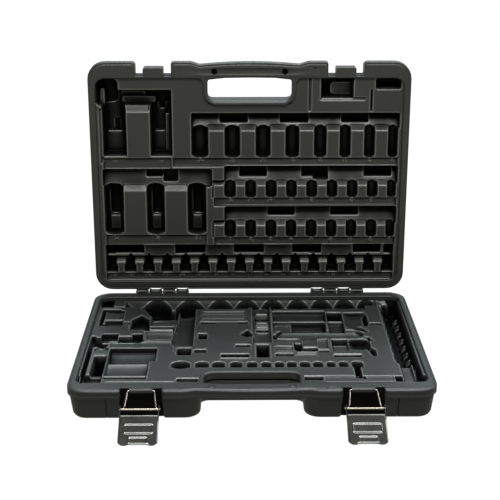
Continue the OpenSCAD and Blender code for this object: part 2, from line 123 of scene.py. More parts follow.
def piece(name, points, faces, body, slot, angle, painted_light=None):
    """An object from points and faces, with sharp edges above an angle in degrees."""
    mesh = bpy.data.meshes.new(name)
    mesh.from_pydata(points, [], faces)
    # Painted light per point, read by the plastic for its colour and specular level.
    if painted_light is not None:
        mesh.attributes.new("painted_light", "FLOAT", "POINT").data.foreach_set("value", painted_light)
    mesh.validate()
    work = bmesh.new()
    work.from_mesh(mesh)
    bmesh.ops.remove_doubles(work, verts=work.verts, dist=2e-6)
    bmesh.ops.recalc_face_normals(work, faces=work.faces)
    work.to_mesh(mesh)
    work.free()
    mesh.shade_smooth()
    mesh.set_sharp_from_angle(angle=math.radians(angle))
    return add(name, mesh, body, slot)


def grid_faces(index):
    """The quads between the points of a grid, given as a table of their indices."""
    return np.stack([index[:-1, :-1], index[:-1, 1:], index[1:, 1:], index[1:, :-1]], -1).reshape(-1, 4)


def fillet(corners, segments=6):
    """A closed outline of (u, v, radius) corners, each round one with equally many points."""
    out = []
    for i, (x, y, radius) in enumerate(corners):
        here = np.array([x, y], float)
        before = np.array(corners[i - 1][:2], float) - here
        after = np.array(corners[i + 1 - len(corners)][:2], float) - here
        if radius <= 0:
            out.append(here)
            continue
        len_b, len_a = np.linalg.norm(before), np.linalg.norm(after)
        before, after = before / max(len_b, 1e-9), after / max(len_a, 1e-9)
        half = math.acos(np.clip(before @ after, -1, 1)) / 2
        if min(len_b, len_a) < 1e-6 or not math.radians(1) < half < math.radians(89):
            out += [here] * (segments + 1)
            continue
        reach = min(radius / math.tan(half), len_b * 0.49, len_a * 0.49)
        bisector = (before + after) / np.linalg.norm(before + after)
        centre = here + bisector * reach / math.cos(half)
        start, end = here + before * reach - centre, here + after * reach - centre
        a0 = math.atan2(start[1], start[0])
        turn = (math.atan2(end[1], end[0]) - a0 + math.pi) % (2 * math.pi) - math.pi
        size = np.linalg.norm(start)
        for k in range(segments + 1):
            angle = a0 + turn * k / segments
            out.append(centre + size * np.array([math.cos(angle), math.sin(angle)]))
    return out


class Builder:
    """Collects rings, bands between rings and flat fills for one mesh."""

    def __init__(self, half):
        self.half = half
        self.plan = []  # u, v, depth of every point
        self.points, self.faces = [], []

    def ring(self, outline, depth):
        """Adds the points of a level outline."""
        first = len(self.points)
        for u, v in outline:
            self.points.append(PLACE[self.half](u, v, depth))
            self.plan.append((u, v, depth))
        return list(range(first, len(self.points)))

    def slot_painted_shade(self):
        """Painted shade of each point: dark at the back of the latch slots."""
        u, v, d = np.array(self.plan).T
        beside = np.abs(np.abs(u) - LATCH_U) < SLOT_HALF + 2
        back = beside & (v > 300) & (v < LENGTH - 5) & (d > 1.5)
        return np.where(back, -0.9, 0.0)

    def band(self, a, b):
        """Faces between two rings of equal count."""
        for k in range(len(a)):
            n = (k + 1) % len(a)
            self.faces.append((a[k], a[n], b[n], b[k]))

    def loft(self, rings):
        """Adds outlines, given with their depths, and the faces between them."""
        made = [self.ring(outline, depth) for outline, depth in rings]
        for a, b in zip(made, made[1:]):
            self.band(a, b)
        return made

    def fill(self, *loops):
        """A flat face inside the first loop, with the other loops as its holes."""
        flat = [i for loop in loops for i in loop]
        veclist = [[Vector(self.points[i]) for i in loop] for loop in loops]
        for tri in tessellate_polygon(veclist):
            self.faces.append(tuple(flat[i] for i in tri))


# ---------- outlines of a half ----------

# Back of the latch slots, notches for the other half's knuckles, and hinge edge of the tray
HALVES = {
    "base": dict(slot_v=328.3, notches=[(112, 130), (152, 170)], inner_v=15.6),
    "lid": dict(slot_v=319.5, notches=[(92, 110), (132, 150)], inner_v=12),
}


def mirrored(right, middle=()):
    """A closed outline from its right half, given from hinge side to handle side."""
    return right + list(middle) + [(-u, v, r) for u, v, r in reversed(right)]


def notch_depth(depth):
    """How far a knuckle's notch reaches in at a depth: a section of round clear space."""
    return max(0.0, math.sqrt(max(NOTCH_R ** 2 - depth ** 2, 0)) - HINGE_OUT)


def flange_outline(half, inset, depth):
    """The flange's outer edge: notches for the knuckles, latch slots, bowed handle bar."""
    data = HALVES[half]
    low, slot = inset - LIP, 0.3 * inset
    notch = max(low, notch_depth(depth) - LIP + slot)
    right, gap = [], 0.4
    for a, b in data["notches"]:
        right += [(a - gap, low, 0.5), (a - gap - slot, notch, 0.5),
                  (b + gap + slot, notch, 0.5), (b + gap, low, 0.5)]
    side, front, back = WIDTH / 2 - inset, LENGTH - inset, data["slot_v"] - slot
    near, far = LATCH_U - SLOT_HALF - slot, LATCH_U + SLOT_HALF + slot
    right += [(side, low, CORNER - inset), (side, front, CORNER - inset),
              (far, front, 4), (far, back, 1.5 + slot), (near, back, 1.5 + slot), (near, front, 4),
              (83, front, 8), (71, 336 - inset, 6), (48, 337.9 - inset, 0), (24, 339.2 - inset, 0)]
    return fillet(mirrored(right, [(0, 339.6 - inset, 0)]))


def shell_outline(half, inset, recess_v):
    """The wall under the flange: mould grooves, latch slots and the space under the handle."""
    step = FLANGE_STEP + inset
    side, front, slot = WIDTH / 2 - step, LENGTH - step, 0.4 * inset
    grip, back = GRIP_HALF + slot, HALVES[half]["slot_v"] - slot
    near, far = LATCH_U - SLOT_HALF - slot, LATCH_U + SLOT_HALF + slot
    right = [(side, -LIP + step, CORNER - step), (side, front, CORNER - step),
             (GROOVE_U + 0.9, front, 0), (GROOVE_U + 0.3, front - 1.3, 0),
             (GROOVE_U - 0.3, front - 1.3, 0), (GROOVE_U - 0.9, front, 0),
             (far, front, 3), (far, back, 1.5), (near, back, 1.5), (near, front, 3),
             (grip, front, 19), (grip, recess_v - slot, 12)]
    return fillet(mirrored(right), 8)


def tray_outline(half, grow):
    """The rim's inner edge, round the tray and the collar of the hand hole."""
    side, front = TRAY_U + grow, TRAY_V1 + grow
    collar, collar_v = HOLE_HALF + COLLAR - grow, HOLE_V0 - COLLAR + grow
    right = [(side, HALVES[half]["inner_v"] - grow, 14 + grow), (side, front, 14 + grow),
             (collar, front, 11 - grow), (collar, collar_v, 28 - grow)]
    return fillet(mirrored(right), 10)


def hole_outline(grow):
    """The hand hole, a little bowed at the handle bar."""
    side, bar = HOLE_HALF + grow, HOLE_V1 + grow
    right = [(side, HOLE_V0 - grow, 23 + grow), (side, 310, 0), (side - 1, bar - 3, 5 + grow),
             (side * 0.6, bar - 0.5, 0)]
    return fillet(mirrored(right, [(0, bar, 0)]), 10)


def disc(u, v, radius):
    return [(u + radius * math.cos(a), v + radius * math.sin(a))
            for a in (math.tau * k / 20 for k in range(20))]


def quarter(radius):
    """Inset and drop of a rounded edge, from its outer side to its top."""
    return [(radius * (1 - math.cos(a)), radius * (1 - math.sin(a)))
            for a in (math.pi / 8 * k for k in range(5))]


def make_rim(half):
    """Flat rim, flange and handle bar as one moulding, pegs on the base, sockets on the lid."""
    build = Builder(half)
    outer = [(flange_outline(half, e, d), d) for e, d in ((0, FLANGE), (0, 5.9), (0.35, 5.4), (0, 4.9))]
    outer += [(flange_outline(half, e, max(d, 0.6)), d) for e, d in quarter(1.9)]
    outer += [(flange_outline(half, e, 0.6), d)
              for e, d in ((2.6, 0), (3, 0.45), (3.5, 0.45), (3.9, 0), (6.6, 0))]
    rings = build.loft(outer)
    tray = build.loft([(tray_outline(half, g), d) for g, d in
                       ((1.6, 0), (1, 0.15), (0.4, 0.6), (0.1, 1.3), (0, 2.2), (-0.3, 6.5))])
    hole = build.loft([(hole_outline(g), d) for g, d in
                       ((2.6, 0), (1.6, 0.25), (0.8, 0.9), (0.2, 1.9), (0, 3), (-0.2, 9.5),
                        (0.3, FLANGE))])
    if half == "base":
        steps = ((4.6, 0), (4.3, 0.5), (3.75, 0.5), (3.7, -0.1), (3.2, -0.35), (1.6, -0.4))
    else:
        steps = ((4.5, 0), (4.15, 0.4), (4.15, 4))
    pegs = [build.loft([(disc(u, PEG_V, r), d) for r, d in steps]) for u in (-PEG_U, PEG_U)]
    pegs.append(build.loft([(disc(VENT_U, VENT_V, r), d) for r, d in ((1.5, 0), (1.2, 0.3), (1.2, 3))]))
    for peg in pegs:
        build.fill(peg[-1])
    build.fill(rings[-1], tray[0], hole[0], *(peg[0] for peg in pegs))
    under = build.ring(shell_outline(half, 0, GRIP_V), FLANGE)
    build.fill(rings[0], under, hole[-1])
    # Painted shade at the back of the latch slots.
    painted_light = build.slot_painted_shade()
    # Painted shade: the grooves round the pegs, the lid's sockets and the vent hole are made fully
    # dark.
    for peg in pegs:
        painted_light[peg[1] + peg[2]] = -1
    made = piece(f"{half}_rim_and_handle", build.points, build.faces, half, f"{half}_plastic", 50, painted_light)
    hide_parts(f"{half}_rim", f"{half}_handle")


def make_shell(half):
    """Outer wall with a drafted side and a rounded bottom edge."""
    build = Builder(half)
    top, edge, grip = 13.2, HEIGHT - 8, GRIP_V + 8.5
    levels = [(0, GRIP_V, FLANGE - 0.2), (0.3, GRIP_V, 12.2), (0.3, GRIP_V + 5.5, 12.5),
              (0.3, GRIP_V + 6.5, top)]
    levels += [(0.3 + 2.7 * t, GRIP_V + 7 + 1.5 * t, top + (edge - top) * t) for t in (0.5, 1)]
    levels += [(3 + 7 * (1 - math.cos(a)), grip, edge + 8 * math.sin(a))
               for a in (math.pi / 2 * k / 6 for k in range(1, 7))]
    rings = build.loft([(shell_outline(half, e, v), d) for e, v, d in levels])
    build.fill(rings[-1])
    # The outer wall carries painted shade at the back of the latch slots.
    made = piece(f"{half}_outer_wall", build.points, build.faces, half, f"{half}_plastic", 45,
                 build.slot_painted_shade())
    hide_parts(f"{half}_shell")


# ---------- trays ----------

class Relief:
    """Depth below the rim over a half's tray, painted one pocket at a time."""

    def __init__(self, level):
        self.us = np.arange(-223, 223.01, RASTER)
        self.vs = np.arange(8, 320.01, RASTER)
        self.d = np.full((len(self.vs), len(self.us)), float(level))

    def window(self, u0, u1, v0, v1):
        """The part of the map inside a rectangle, with its plan coordinates."""
        i0, i1 = np.searchsorted(self.us, [u0, u1])
        j0, j1 = np.searchsorted(self.vs, [v0, v1])
        u, v = np.meshgrid(self.us[i0:i1 + 1], self.vs[j0:j1 + 1])
        return self.d[j0:j1 + 1, i0:i1 + 1], u, v

    @staticmethod
    def inside(u, v, u0, u1, v0, v1, r):
        """Distance inwards from the edge of a rectangle with round corners."""
        qx = np.abs(u - (u0 + u1) / 2) - (u1 - u0) / 2 + r
        qy = np.abs(v - (v0 + v1) / 2) - (v1 - v0) / 2 + r
        return r - np.hypot(np.maximum(qx, 0), np.maximum(qy, 0)) - np.minimum(np.maximum(qx, qy), 0)

    def rect(self, u0, u1, v0, v1, r, pad=1):
        """The window round a rectangle, its v, and the distance inwards from the edge."""
        view, u, v = self.window(u0 - pad, u1 + pad, v0 - pad, v1 + pad)
        return view, v, self.inside(u, v, u0, u1, v0, v1, min(r, (u1 - u0) / 2, (v1 - v0) / 2))

    @staticmethod
    def press(view, reach, depth, draft):
        """Presses the surface down to a depth, with walls leaning by the draft."""
        pressed = np.minimum(depth, WALL_TOP + reach / draft)
        view[...] = np.where(reach > 0, np.maximum(view, pressed), view)

    def box(self, u0, u1, v0, v1, depth, r=2, draft=0.1):
        """A pocket with a flat floor."""
        view, _, reach = self.rect(u0, u1, v0, v1, r)
        self.press(view, reach, depth, draft)

    def boxes(self, *rows):
        """Flat pockets, each given as for box."""
        for row in rows:
            self.box(*row)

    def ramp(self, u0, u1, v0, v1, low, high, r=2, draft=0.1):
        """A pocket whose floor goes from one depth at v0 to another at v1."""
        view, v, reach = self.rect(u0, u1, v0, v1, r)
        floor = low + (high - low) * np.clip((v - v0) / (v1 - v0), 0, 1)
        self.press(view, reach, floor, draft)

    def rise(self, u0, u1, v0, v1, level, r=1.5, draft=0.12):
        """A block that stands up to a level out of whatever is round it."""
        view, _, reach = self.rect(u0, u1, v0, v1, r, 5)
        view[...] = np.minimum(view, level + np.maximum(-reach, 0) / draft)

    def rises(self, *rows):
        """Blocks, each given as for rise."""
        for row in rows:
            self.rise(*row)

    def shear(self, u0, u1, v0, v1, level, slope):
        """Planes the top off a block: the surface falls away from v0 towards v1."""
        view, _, v = self.window(u0, u1, v0, v1)
        view[...] = np.maximum(view, level + (v - v0) * slope)

    def trough(self, u0, u1, v0, v1, axis, along="v", draft=0.1, round_end=0, sag=0):
        """A channel with a round floor whose axis lies at a depth; sag flattens the round."""
        view, u, v = self.window(u0 - 1, u1 + 1, v0 - 1, v1 + 1)
        if along == "v":
            half, off, end = (u1 - u0) / 2, np.abs(u - (u0 + u1) / 2), np.minimum(v - v0, v1 - v)
        else:
            half, off, end = (v1 - v0) / 2, np.abs(v - (v0 + v1) / 2), np.minimum(u - u0, u1 - u)
        floor = axis + np.sqrt(np.maximum(half ** 2 - off ** 2, 0)) * ((sag or half) / half)
        if round_end:
            end = end - round_end * (off / half) ** 2
        self.press(view, np.minimum(half - off, end), floor, draft)

    def well(self, u0, v0, radius, depth, draft=0.1, ball=False):
        """A round pocket, with a flat floor or the floor of a ball."""
        view, u, v = self.window(u0 - radius - 1, u0 + radius + 1, v0 - radius - 1, v0 + radius + 1)
        off = np.hypot(u - u0, v - v0)
        floor = depth + (np.sqrt(np.maximum(radius ** 2 - off ** 2, 0)) if ball else 0)
        self.press(view, radius - off, floor, draft)

    def wedge(self, points, depth, draft=0.1):
        """A pocket whose plan is a convex polygon."""
        pts = np.array(points, float)
        view, u, v = self.window(pts[:, 0].min() - 1, pts[:, 0].max() + 1,
                                 pts[:, 1].min() - 1, pts[:, 1].max() + 1)
        turn = np.roll(pts, -1, 0) - pts
        area = np.sum(pts[:, 0] * np.roll(pts[:, 1], -1) - pts[:, 1] * np.roll(pts[:, 0], -1))
        reach = np.full(u.shape, 1e3)
        for (x, y), (dx, dy) in zip(pts, turn):
            side = (dx * (v - y) - dy * (u - x)) / math.hypot(dx, dy) * np.sign(area)
            reach = np.minimum(reach, side)
        self.press(view, reach, depth, draft)

    def line(self, u0, v0, u1, v1, height, width=0.8):
        """A raised bead along a line."""
        pad = 3 * width
        view, u, v = self.window(min(u0, u1) - pad, max(u0, u1) + pad,
                                 min(v0, v1) - pad, max(v0, v1) + pad)
        du, dv = u1 - u0, v1 - v0
        along = np.clip(((u - u0) * du + (v - v0) * dv) / max(du * du + dv * dv, 1e-9), 0, 1)
        off = np.hypot(u - u0 - along * du, v - v0 - along * dv)
        view[...] -= height * np.exp(-(off / width) ** 2)

    def beads(self, height, *chains):
        """Raised beads of one height, each from point to point: u, v, u, v and so on."""
        for chain in chains:
            for k in range(0, len(chain) - 2, 2):
                self.line(*chain[k:k + 4], height)

    # The strokes of each digit, and the ends of each stroke on a grid of 1 by 2
    DIGITS = {"0": "abcdef", "1": "bc", "2": "abged", "3": "abgcd", "4": "fgbc", "5": "afgcd",
              "6": "afgedc", "7": "abc", "8": "abcdefg", "9": "abcdfg"}
    STROKES = {"a": (0, 2, 1, 2), "b": (1, 2, 1, 1), "c": (1, 1, 1, 0), "d": (0, 0, 1, 0),
               "e": (0, 1, 0, 0), "f": (0, 2, 0, 1), "g": (0, 1, 1, 1)}

    def number(self, text, u, v):
        """A plain raised size number."""
        wide, height = 2.6, 1.6
        y = v - wide
        for k, char in enumerate(text):
            x = u + (k * 1.6 - (len(text) - 1) * 0.8 - 0.5) * wide
            for stroke in self.DIGITS[char]:
                x0, y0, x1, y1 = self.STROKES[stroke]
                self.line(x + x0 * wide, y + y0 * wide, x + x1 * wide, y + y1 * wide, height, 0.5)

    def numbers(self, texts, us, v):
        """A row of size numbers."""
        for text, u in zip(texts.split(), us):
            self.number(text, u, v)

    @staticmethod
    def blur(field, sigma):
        """A Gaussian blur of a map, one way and then the other."""
        reach = int(2.5 * sigma / RASTER) + 1
        kernel = np.exp(-0.5 * (np.arange(-reach, reach + 1) * RASTER / sigma) ** 2)
        kernel /= kernel.sum()
        for _ in range(2):
            wide = np.pad(field, ((reach, reach), (0, 0)), mode="edge")
            field = sum(k * wide[i:i + len(field)] for i, k in enumerate(kernel)).T
        return field

    def finish(self, sigma):
        """Rounds every edge a little, as blow moulding does, and sets the painted light: a painted
        highlight above 0 on convex edges, painted shade below 0 on walls and in hollows."""
        self.d = self.blur(self.d, sigma)
        steep = np.hypot(*np.gradient(self.d, RASTER))
        wall = np.clip(steep / 2.5, 0, 1)
        # Painted highlight on convex edges; painted shade on steep walls, deep floors and narrow
        # hollows.
        edge = np.clip((self.blur(self.d, 1.0) - self.d) * 2.6, 0, 1) * (1 - wall)
        below = self.d - self.blur(self.d, 6)
        painted_shade = np.clip(0.022 * (self.d - 6) + 0.12 * below + 0.7 * wall, 0, 1)
        self.tone = edge - painted_shade * (1 - edge)

    def at(self, field, u, v):
        """A map's values at plan coordinates."""
        x = np.clip((u - self.us[0]) / RASTER, 0, len(self.us) - 1.001)
        y = np.clip((v - self.vs[0]) / RASTER, 0, len(self.vs) - 1.001)
        i, j = x.astype(int), y.astype(int)
        fx, fy = x - i, y - j
        return ((field[j, i] * (1 - fx) + field[j, i + 1] * fx) * (1 - fy)
                + (field[j + 1, i] * (1 - fx) + field[j + 1, i + 1] * fx) * fy)


def rims_over(u, v, half):
    """True where the rim or the hand hole's collar hides the tray."""
    lap = 1.6
    collar = (np.abs(u) < HOLE_HALF) & (v > HOLE_V0 - COLLAR + 1.5)
    hinge_side = v < HALVES[half]["inner_v"] - lap
    return collar | hinge_side | (np.abs(u) > TRAY_U + lap) | (v > TRAY_V1 + lap)


def make_bay(half, node, relief, area):
    """One region of a tray as a sheet that follows the painted depths."""
    us, vs = (np.linspace(low, high, round((high - low) / GRID) + 1)
              for low, high in (area[:2], area[2:]))
    u, v = (grid.ravel() for grid in np.meshgrid(us, vs))
    d = np.minimum(relief.at(relief.d, u, v), HEIGHT - 2.6)
    points = np.stack(PLACE[half](u, v, d), -1)
    quads = grid_faces(np.arange(u.size).reshape(len(vs), len(us)))
    middle = np.meshgrid((us[:-1] + us[1:]) / 2, (vs[:-1] + vs[1:]) / 2)
    quads = quads[~rims_over(*middle, half).ravel()]
    if half == "base":
        quads = quads[:, ::-1]
    used, flat = np.unique(quads, return_inverse=True)
    points, tone = points[used], relief.at(relief.tone, u, v)[used]
    mesh = bpy.data.meshes.new(f"{node}_tray")
    mesh.from_pydata(points, [], flat.reshape(-1, 4))
    mesh.shade_smooth()
    # Painted light per point: painted highlights on edges, painted shade on walls and in hollows.
    mesh.attributes.new("painted_light", "FLOAT", "POINT").data.foreach_set("value", tone.astype(np.float32))
    made = add(f"{node}_tray", mesh, half, f"{half}_plastic")
    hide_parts(node)


def lid_row(r, left, foot, top, band_top, chamfer, axis, blocks, slots, strip):
    """A row of half-round beds between blocks, with a finger band and deep slots above it and
    a label strip below. Blocks are (u0, u1), slots (u0, u1, v0) and the strip (u0, v0, v1)."""
    right = 214
    r.ramp(left, right + 2, top - 2, band_top, BAND - 6, BAND + 5, 3)
    r.box(strip[0], right + 2, strip[1], strip[2], STRIP, 0.5, 0.3)
    for u0, u1, v0 in slots:
        r.box(u0, u1, v0, band_top, DEEP, 1.5)
    faces = [left, *(u for block in blocks for u in block), right]
    for u0, u1 in zip(faces[0::2], faces[1::2]):
        if u1 - u0 > 5:
            r.trough(u0, u1, foot, top + 3, axis, round_end=4.5)
    for u0, u1 in blocks:
        r.rise(u0, u1, foot, top + 2, PLATEAU, 2)
        r.shear(u0 - 1, u1 + 1, chamfer, top + 3, PLATEAU, 1.1)


def ratchet_bay(r):
    """Two troughs either side of a tall block, with a finger slot and a corner pocket above."""
    r.boxes((-220, -188, 276, 315.5, DEEP, 8), (-186, -112, 276, 299, DEEP))
    r.trough(-212, -178, 203, 299, 13)
    r.trough(-143, -112, 203, 299, 15)
    r.rises((-184, -135, 278, 288, 23, 3), (-184, -150, 286, 295, 26, 3),
            (-177, -145, 204, 276, PLATEAU, 2))
    r.shear(-178, -144, 267, 277, PLATEAU, 0.8)
    r.boxes((-198, -186, 219, 257, DEEP, 3), (-133, -120, 266, 290, DEEP))
    r.rises((-213, -178, 205, 236, 25, 4, 0.5), (-143, -112, 205, 236, 26, 4, 0.5),
            (-122, -117, 205, 262, 24, 1), (-215, -208, 272, 300, 20, 3))
    r.boxes((-213, -113, 182, 200, STRIP, 1, 0.3), (-216, -212, 192, 272, 7, 1))
    r.numbers("36 32", (-196, -128), 195)


def adapter_bay(r):
    """Two pockets beside the handle, and the grooves that frame them."""
    r.boxes((84.5, 88, 268, 315.5, 6, 1), (102, 152, 287, 315.5, DEEP))
    r.rises((115, 148, 290, 309, 18, 6), (148, 166, 284, 315, PLATEAU, 3))
    r.boxes((100, 166, 284, 288, 6), (173, 175.5, 268, 300, 9, 1), (180, 216, 300, 315.5, DEEP, 3))


def upper_rows(r):
    """The row of large beds, and the two rows of small ones."""
    lid_row(r, left=-84, foot=199.5, top=244, band_top=265.5, chamfer=239.5, axis=11,
            blocks=[(-60, -36), (-14, 9), (30, 52), (71.5, 93.5), (111, 130.5), (146, 166),
                    (181, 200.5)],
            slots=[(-44, -2, 249), (43, 86, 249), (132, 173, 249)], strip=(-112, 186, 200))
    r.numbers("24 22 21 19 18 17 16 15", (-71, -25, 19, 62, 102, 137, 173, 207), 195)
    blocks = [(c - 7.2, c + 7.2) for c in (-13.5, 16.5, 46.5, 76, 106, 135.5, 165, 194.5)]
    for low, slots, sizes in (
            (61, [(-16, 26, 168.5), (75, 116, 168.5), (92, 116, 164.5), (167, 209, 168.5)],
             "38 27 24 13 12 11 10 9"),
            (0, [(26, 68, 109), (119, 162, 109)], "17 16 15 14 13 12 11 10 9")):
        lid_row(r, left=-37, foot=78 + low, top=101 + low, band_top=126 + low, chamfer=96.5 + low,
                axis=9.5, blocks=blocks, slots=slots, strip=(-53, 65 + low, 79 + low))
        r.numbers(sizes, (-28, 1, 29, 60, 90, 119, 148, 178, 207), 74 + low)
        r.box(-55, -53, 78 + low, 101 + low, 7, 0.8)
        r.shear(-53, -37, 97 + low, 104 + low, PLATEAU, 1.1)


def long_bay(r):
    """Three long troughs between two blocks."""
    r.ramp(-214, -55, 156, 183, 11, 17, 4)
    r.boxes((-152, -126, 169, 182, 24), (-127, -104, 162, 182, 24, 3))
    for u0, u1 in ((-213, -185), (-151, -125), (-91, -64)):
        r.trough(u0, u1, 83, 161, 12, round_end=5)
        r.box(u0 + 6, u1 - 3, 110, 157, DEEP, 4)
        r.rise(u0 + 7, u1 - 7, 88, 109, 22, 1)
    for u0, u1 in ((-184, -153), (-122, -93)):
        r.rise(u0, u1, 86, 158, PLATEAU, 2)
        r.rise(u0 - 2, u1 + 2, 86, 120, PLATEAU + 1, 2)
        r.shear(u0 - 3, u1 + 3, 150, 160, PLATEAU, 0.7)
    r.box(-213, -63, 65, 83, STRIP, 1, 0.3)
    r.numbers("14 19 21", (-199, -137, -77), 76)


def lowest_row(r):
    """Arches between T-shaped blocks along the hinge, under a band with deep slots."""
    pitch = 27.4
    r.box(-214, 214, 46, 66, 15, 3)
    for u0, u1 in ((-209, -157), (-112, -65), (-24, 22), (63, 108), (154, 197)):
        r.box(u0, u1, 50, 66.5, DEEP, 1.5)
    for u0, u1 in ((-112, -90), (88, 108), (-214, -200), (200, 214)):
        r.box(u0, u1, 49, 66.5, DEEP, 1.5)
    r.box(-214, 214, 24, 48, 26, 1.5)
    for u in [-178.3 + pitch * k for k in range(14)]:
        r.wedge([(u - 6, 44), (u, 52.5), (u + 6, 44)], DEEP)
    for u in [-192 + pitch * k for k in range(15)]:
        r.rise(u - 7, u + 7, 35, 44, PLATEAU, 3)
        r.rise(u - 5, u + 5, 24, 40, PLATEAU, 1)
        r.shear(u - 8, u + 8, 40, 46, PLATEAU, 1.1)
    r.box(-214, 214, 13.5, 23, STRIP)
    r.numbers("32 30 28 27 24 22 19 18 17 14 13 12 11 10 8", [-202 + 25.1 * k for k in range(15)], 18.5)


# Centre and radius of each round pocket, and centre and width of each small one
BACK_ROW = [(-137, 22), (-88, 21.5), (-43.5, 18.5), (-4.5, 17.5), (33.5, 16.5), (70.5, 16), (105.5, 16),
            (140, 15.5), (173, 14.5)]
FRONT_ROW = [(-92, 24), (-64.5, 17), (-43, 16), (-20, 15), (0.5, 13), (19, 12), (36, 11), (52, 11.5),
             (69, 12.5), (86, 12), (103, 10.5), (119, 11), (137, 14)]


def back_row(r):
    """Round pockets along the hinge, with sloping webs between them that end in points."""
    for v0, v1, low, high in ((12, 20, 3.5, 9.6), (19.5, 26, 9.5, 11.8), (25.5, 44, 11.7, 13.2)):
        r.ramp(-217, 188, v0, v1, low, high, 0.1, 0.02)
    for u, radius in BACK_ROW:
        r.well(u, 15.5 + radius * 0.97, radius, DEEP, 0.05)
    for u0, u1, v0, v1 in ((-157, -110, 38, 56), (-110, -67, 37, 56), (-67, -3, 36, 55),
                           (-22, 15, 35, 46), (15, 188, 33, 43)):
        r.box(u0, u1, v0, v1, DEEP, 1, 0.06)
    r.well(-194, 40, 24, DEEP)
    r.rise(-201, -183, 13, 40, 6, 1)
    r.box(-219, -200, 9, 43, DEEP, 5)
    r.rise(-216, -172, 46, 60, PLATEAU, 6)
    r.wedge([(-157, 46), (-153, 60), (-144, 78), (-140, 88), (-103, 78), (-103, 46)], DEEP)


def right_channel(r):
    """Long deep channel with teeth on both sides, and the steps in front of it."""
    r.wedge([(188, 14), (188, 60), (187, 244), (194, 254), (208, 254), (217, 240), (218, 14)],
            DEEP, 0.05)
    for k in range(9):
        r.rise(185, 188.5, 40 + 25 * k, 44 + 25 * k, PLATEAU, 1.5, 0.5)
        r.rise(213, 219, 50 + 24 * k, 52 + 24 * k, 24, 1, 0.9)
    r.rises((186, 200, 12, 22, 6, 1, 0.8), (186, 193, 12, 36, 8, 1, 0.4))
    r.boxes((191, 207, 252, 301, 9, 2, 0.3), (207, 218, 240, 292, 16, 3, 0.3),
            (207, 220, 283, 305, DEEP, 6), (190, 212, 299, 306, 20), (181, 190, 288, 305, DEEP, 1))


def left_bay(r):
    """Pockets of many shapes behind the left trough bay, one of them pentagonal."""
    r.boxes((-213, -187, 56, 61, 24), (-213, -208, 58, 110, 26), (-208, -181, 60, 94, 7),
            (-205, -180, 98, 120, 11), (-180, -169, 104, 116, 8), (-213, -203, 110, 119, 10),
            (-141, -103, 76, 119, 9), (-139, -106, 121, 131, 28), (-150, -100, 133, 142, 7),
            (-145, -103, 142, 150, 9), (-143, -103, 146, 166, 7))
    r.well(-191, 79, 9, 9, 1.2)
    r.wedge([(-168, 132), (-168, 95), (-155.5, 79), (-143, 95), (-141, 133)], 17)
    r.wedge([(-141, 88), (-141, 100), (-103, 100), (-103, 76)], 12)
    r.beads(0.7, (-168, 95, -155.5, 79, -143, 95, -141, 130), (-170, 106, -170, 130),
            (-213, 54.5, -187, 54.5), (-206, 96, -180, 96, -178, 103, -169, 103),
            (-141, 118, -104, 118), (-144, 68, -140, 90))


def front_left_bay(r):
    """Two wide troughs, one before the other, with deep pockets round them."""
    r.boxes((-218, -212, 155, 306, 14), (-216, -193, 160, 192, DEEP), (-205, -182, 148, 172, 13),
            (-182, -159, 157, 176, 26), (-160, -148, 148, 172, 15), (-207, -190, 222, 280, DEEP),
            (-218, -190, 280, 306, 15), (-224, -218, 282, 304, DEEP), (-99, -80, 197, 221, DEEP),
            (-76, -60, 202, 213, DEEP), (-185, -97, 303, 304.5, 8), (-95, -68, 294, 303, DEEP))
    r.wedge([(-163, 148), (-154, 147), (-144, 173), (-150, 176), (-163, 176)], 15)
    r.box(-190, -108, 176, 195, 6, 1)
    r.trough(-188, -126, 197, 240, 9.5, "u", 0.06, sag=6)
    r.trough(-188, -134, 238, 284, 5.5, "u", 0.06, sag=6)
    r.rise(-188, -134, 285, 287, 6, 1)
    r.box(-188, -134, 288, 294, 11, 1)
    r.well(-200, 201, 9.5, 8, 0.1, True)
    r.rise(-209, -192, 192, 212, 8, 8, 0.4)
    r.beads(0.8,
            (-218, 149, -213, 159, -206, 159, -203, 147, -184, 147, -181, 155, -160, 155, -157, 146),
            (-155, 146, -145, 171, -113, 169, -106, 181, -103, 211), (-188, 196, -127, 196),
            (-190, 177, -160, 177), (-208, 217, -192, 217), (-133, 232, -133, 290),
            (-95, 292, -68, 292), (-191, 222, -189, 305))


